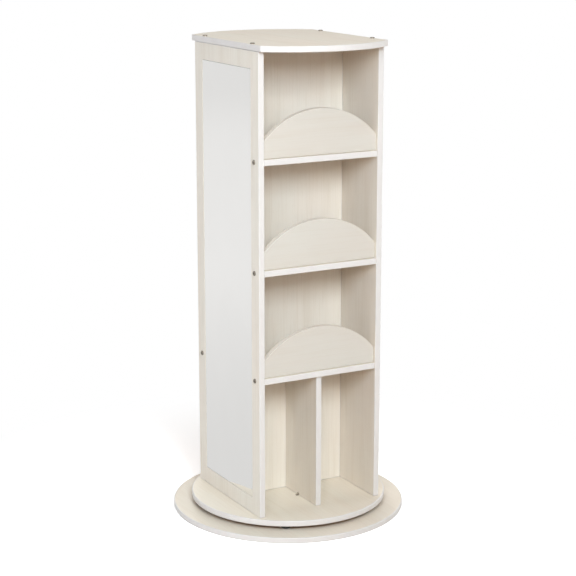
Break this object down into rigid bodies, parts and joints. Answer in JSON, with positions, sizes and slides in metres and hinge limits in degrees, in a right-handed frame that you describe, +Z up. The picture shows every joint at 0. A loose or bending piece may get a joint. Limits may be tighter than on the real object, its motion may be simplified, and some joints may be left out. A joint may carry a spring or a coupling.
{
  "type": "rotating costume rack",
  "caption": "Tall shelf-and-mirror cabinet for dressing-up clothes that turns on a ball-bearing turntable over a round base.",
  "frame": {"origin": "on the floor, at the centre of the base disc and on the turning axis", "axes": "+Z up along the turning axis, -Y the front with the lipped shelves, +X the right-hand mirror side"},
  "size_m": [0.6, 0.6, 1.2191],
  "materials": {
    "washed_wood": "white-washed birch-look board with white painted edges, satin",
    "lip_wood": "white-washed birch-look board, grain lying flat, satin",
    "mirror": "silvered sheet",
    "nickelled_steel": "nickel plated, satin",
    "bright_steel": "zinc plated or polished",
    "cast_aluminium": "cast and turned",
    "black_nylon": "moulded",
    "pale_nylon": "moulded"
  },
  "bodies": {
    "base": {"base_disc": "washed_wood", "lower_race_ring": "cast_aluminium", "lower_race_screw_1": "bright_steel", "lower_race_screw_2": "bright_steel", "lower_race_screw_3": "bright_steel"},
    "cage": {"ball_cage": "pale_nylon", "bearing_ball_1": "bright_steel", "bearing_ball_2": "bright_steel", "bearing_ball_3": "bright_steel", "bearing_ball_4": "bright_steel", "bearing_ball_5": "bright_steel", "bearing_ball_6": "bright_steel", "bearing_ball_7": "bright_steel", "bearing_ball_8": "bright_steel"},
    "tower": {"platform_disc": "washed_wood", "upper_race_ring": "cast_aluminium", "upper_race_screw_1": "bright_steel", "upper_race_screw_2": "bright_steel", "upper_race_screw_3": "bright_steel", "rim_glide_1": "black_nylon", "rim_glide_2": "black_nylon", "rim_glide_3": "black_nylon", "rim_glide_4": "black_nylon", "rim_glide_5": "black_nylon", "rim_glide_6": "black_nylon", "left_side_panel": "washed_wood", "left_mirror": "mirror", "right_side_panel": "washed_wood", "right_mirror": "mirror", "top_panel": "washed_wood", "central_partition": "washed_wood", "front_shelf_lower": "washed_wood", "front_shelf_middle": "washed_wood", "front_shelf_upper": "washed_wood", "shelf_lip_lower": "lip_wood", "shelf_lip_middle": "lip_wood", "shelf_lip_upper": "lip_wood", "lower_divider": "washed_wood", "divider_clip": "lip_wood", "rear_shelf": "washed_wood", "hanging_rail": "bright_steel", "rail_screw_left": "bright_steel", "rail_screw_right": "bright_steel", "top_bolt_front_left": "nickelled_steel", "top_bolt_rear_left": "nickelled_steel", "top_bolt_front_right": "nickelled_steel", "top_bolt_rear_right": "nickelled_steel", "foot_bolt_front_left": "bright_steel", "foot_bolt_rear_left": "bright_steel", "foot_bolt_front_right": "bright_steel", "foot_bolt_rear_right": "bright_steel", "shelf_bolt_front_lower_left": "nickelled_steel", "shelf_bolt_front_middle_left": "nickelled_steel", "shelf_bolt_front_upper_left": "nickelled_steel", "shelf_bolt_rear_left": "nickelled_steel", "shelf_bolt_front_lower_right": "nickelled_steel", "shelf_bolt_front_middle_right": "nickelled_steel", "shelf_bolt_front_upper_right": "nickelled_steel", "shelf_bolt_rear_right": "nickelled_steel"}
  },
  "joints": [
    {"name": "turntable", "type": "hinge", "parent": "base", "child": "tower", "pos_m": [0, 0, 0.0204], "axis": [0, 0, 1], "continuous": true},
    {"name": "cage_orbit", "type": "hinge", "parent": "base", "child": "cage", "pos_m": [0, 0, 0.0204], "axis": [0, 0, 1], "continuous": true}
  ],
  "couplings": [
    {"joint": "cage_orbit", "follows": "turntable", "ratio": 0.5}
  ]
}
